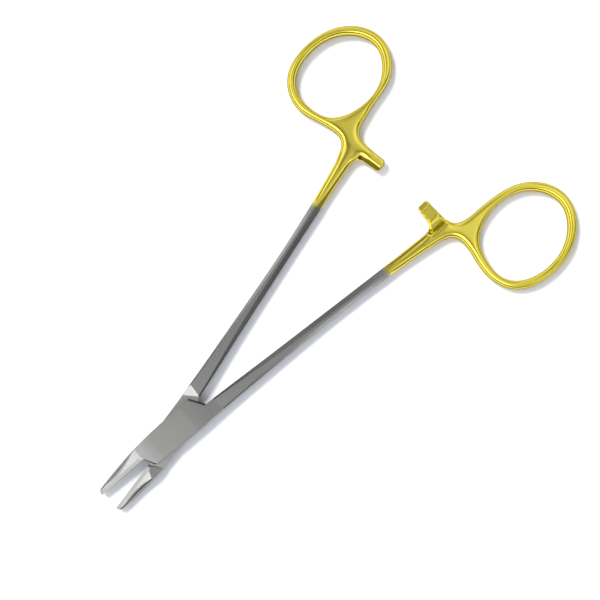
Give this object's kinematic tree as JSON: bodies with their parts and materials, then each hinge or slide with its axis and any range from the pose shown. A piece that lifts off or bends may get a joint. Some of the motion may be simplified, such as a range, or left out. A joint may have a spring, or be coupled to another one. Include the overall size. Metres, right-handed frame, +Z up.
{
  "type": "surgical needle holder",
  "caption": "Needle holder with a box lock: straight tapered jaws with hard inserts, ratchet bars, slim shanks and plated finger rings; it pivots on a flush pin.",
  "frame": {"origin": "where the hinge axis meets the flat underside of the joint", "axes": "+X midway between the arms towards the finger rings, +Y towards the ring of the arm that passes through the box, +Z up along the hinge axis"},
  "size_m": [0.1486, 0.0936, 0.0048],
  "materials": {
    "satin_steel": "satin stainless steel, with the rings and ratchet plated in polished gold",
    "pin_steel": "stainless steel, peened and ground flush",
    "carbide": "sintered carbide with a fine cross-cut grip"
  },
  "bodies": {
    "box_side": {"box_arm": "satin_steel", "hinge_pin": "pin_steel", "box_jaw_insert": "carbide"},
    "through_side": {"through_arm": "satin_steel", "through_jaw_insert": "carbide"}
  },
  "joints": [
    {"name": "box_lock_hinge", "type": "hinge", "parent": "box_side", "child": "through_side", "pos_m": [0, 0, 0], "axis": [0, 0, 1], "range_deg": [-11.5, 14]}
  ]
}
